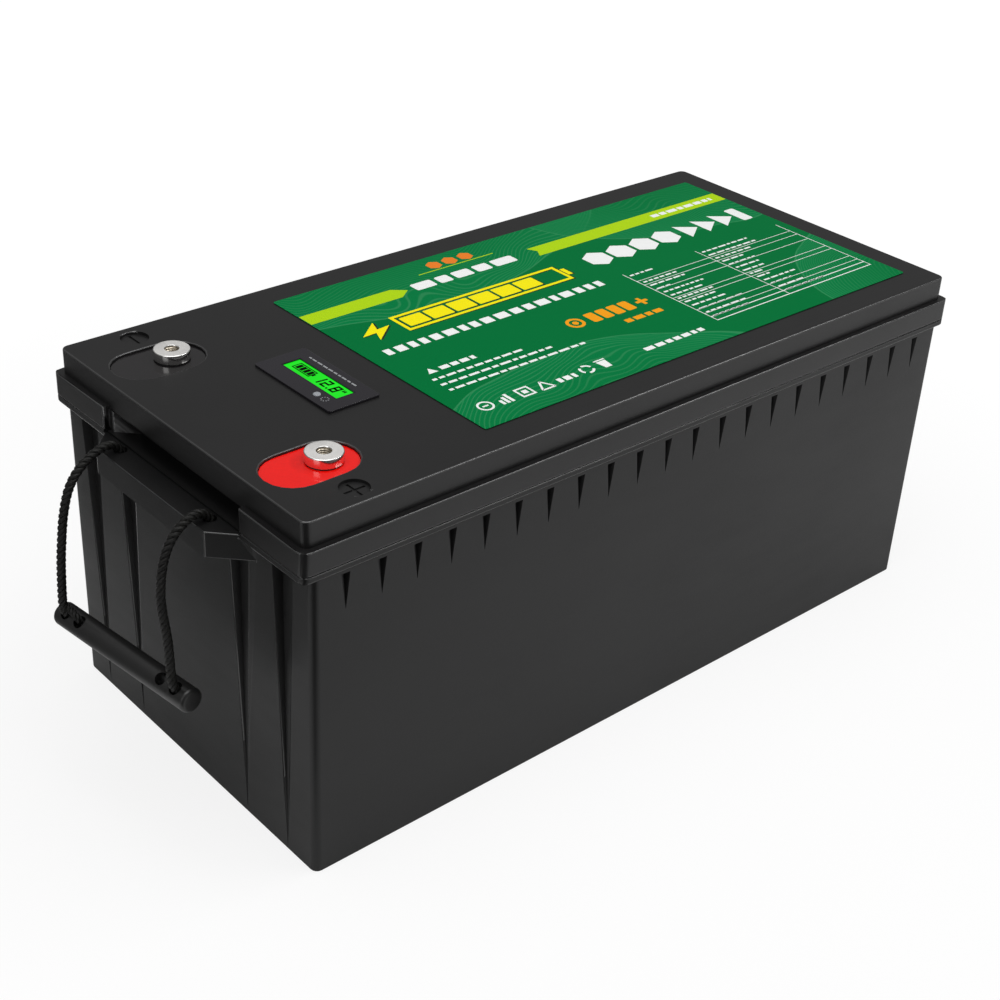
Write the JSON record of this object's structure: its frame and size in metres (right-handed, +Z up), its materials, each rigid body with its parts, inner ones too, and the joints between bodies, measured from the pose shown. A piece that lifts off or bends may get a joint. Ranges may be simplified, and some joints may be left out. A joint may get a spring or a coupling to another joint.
{
  "type": "deep cycle battery",
  "caption": "Large sealed block battery with a stepped lid, two stud terminals in recessed cups, a lid meter with a key, and a rope handle with a bar grip at each end.",
  "frame": {"origin": "middle of the case's underside, which is also the bottom centre of the whole object's box", "axes": "+X along the case away from the terminal end, +Y across it towards the negative terminal, +Z up"},
  "size_m": [0.619, 0.246, 0.2315],
  "materials": {
    "case_plastic": "satin moulded ABS, fine grain, rounded edges slightly glossier",
    "lid_plastic": "satin moulded ABS, slightly smoother than the tub",
    "sealant": "dark set sealant",
    "positive_cup_red": "glossy red moulded insert",
    "negative_cup_black": "glossy black moulded insert",
    "terminal_metal": "tin plated copper, turned, bright",
    "seal_rubber": "matt black rubber",
    "zinc_steel": "zinc plated steel",
    "label_film": null,
    "bezel_plastic": "black, low gloss",
    "display_green": "lit green liquid crystal display",
    "key_plastic": "grey round key",
    "circuit_board": "green solder mask",
    "wire_black": "black insulation",
    "cable_red": "red insulation",
    "grip_plastic": "satin charcoal polypropylene",
    "rope_fibre": "black twisted polypropylene rope",
    "cell_film": "blue film over an aluminium can",
    "bms_aluminium": "plain aluminium",
    "plug_plastic": "natural nylon",
    "fibre_board": "yellow green glass fibre board",
    "strap_steel": "steel banding",
    "foam": "closed cell foam"
  },
  "bodies": {
    "case": {"base_pad": "foam", "bms_back_plate": "bms_aluminium", "bms_board": "circuit_board", "bms_heat_sink": "bms_aluminium", "bms_sense_plug": "plug_plastic", "busbar_1_2": "terminal_metal", "busbar_2_3": "terminal_metal", "busbar_3_4": "terminal_metal", "case_tub": "case_plastic", "cell_1": "cell_film", "cell_2": "cell_film", "cell_3": "cell_film", "cell_4": "cell_film", "cell_nut_1_a": "zinc_steel", "cell_nut_1_b": "zinc_steel", "cell_nut_2_a": "zinc_steel", "cell_nut_2_b": "zinc_steel", "cell_nut_3_a": "zinc_steel", "cell_nut_3_b": "zinc_steel", "cell_nut_4_a": "zinc_steel", "cell_nut_4_b": "zinc_steel", "cell_separator_1": "fibre_board", "cell_separator_2": "fibre_board", "cell_separator_3": "fibre_board", "end_plate_front": "fibre_board", "end_plate_rear": "fibre_board", "lid": "lid_plastic", "lid_sealant_bead": "sealant", "lug_bolt_negative": "zinc_steel", "lug_bolt_positive": "zinc_steel", "meter_bezel": "bezel_plastic", "meter_board": "circuit_board", "meter_display": "display_green", "meter_harness": "wire_black", "output_negative_cable": "wire_black", "pack_negative_cable": "wire_black", "pack_strap_1": "strap_steel", "pack_strap_2": "strap_steel", "positive_cable": "cable_red", "sense_harness": "wire_black", "side_pad_negative_side": "foam", "side_pad_positive_side": "foam", "temperature_probe": "plug_plastic", "terminal_cup_negative": "negative_cup_black", "terminal_cup_positive": "positive_cup_red", "terminal_nut_negative": "zinc_steel", "terminal_nut_positive": "zinc_steel", "terminal_o_ring_negative": "seal_rubber", "terminal_o_ring_positive": "seal_rubber", "terminal_post_negative": "terminal_metal", "terminal_post_positive": "terminal_metal", "top_label": "label_film"},
    "front_ropes": {"handle_rope_front_negative_side": "rope_fibre", "handle_rope_front_positive_side": "rope_fibre"},
    "front_grip": {"handle_grip_front": "grip_plastic"},
    "rear_ropes": {"handle_rope_rear_negative_side": "rope_fibre", "handle_rope_rear_positive_side": "rope_fibre"},
    "rear_grip": {"handle_grip_rear": "grip_plastic"},
    "meter_key": {"meter_key": "key_plastic"}
  },
  "joints": [
    {"name": "front_handle_swing", "type": "hinge", "parent": "case", "child": "front_ropes", "pos_m": [-0.2638, 0, 0.1956], "axis": [0, 1, 0], "range_deg": [-11, 140], "deforming": ["handle_rope_front_negative_side", "handle_rope_front_positive_side"]},
    {"name": "rear_handle_swing", "type": "hinge", "parent": "case", "child": "rear_ropes", "pos_m": [0.2638, 0, 0.1956], "axis": [0, -1, 0], "range_deg": [-11, 140], "deforming": ["handle_rope_rear_negative_side", "handle_rope_rear_positive_side"]},
    {"name": "front_grip_roll", "type": "hinge", "parent": "front_ropes", "child": "front_grip", "pos_m": [-0.2958, -0.0026, 0.0978], "axis": [-0.1045, 0.9944, -0.0122], "range_deg": [-25, 25], "deforming": ["handle_rope_front_negative_side", "handle_rope_front_positive_side"]},
    {"name": "rear_grip_roll", "type": "hinge", "parent": "rear_ropes", "child": "rear_grip", "pos_m": [0.2958, -0.0026, 0.0978], "axis": [-0.1045, -0.9944, 0.0122], "range_deg": [-25, 25], "deforming": ["handle_rope_rear_negative_side", "handle_rope_rear_positive_side"]},
    {"name": "meter_key_press", "type": "slide", "parent": "case", "child": "meter_key", "axis": [0, 0, -1], "range_m": [0, 0.0005]}
  ]
}
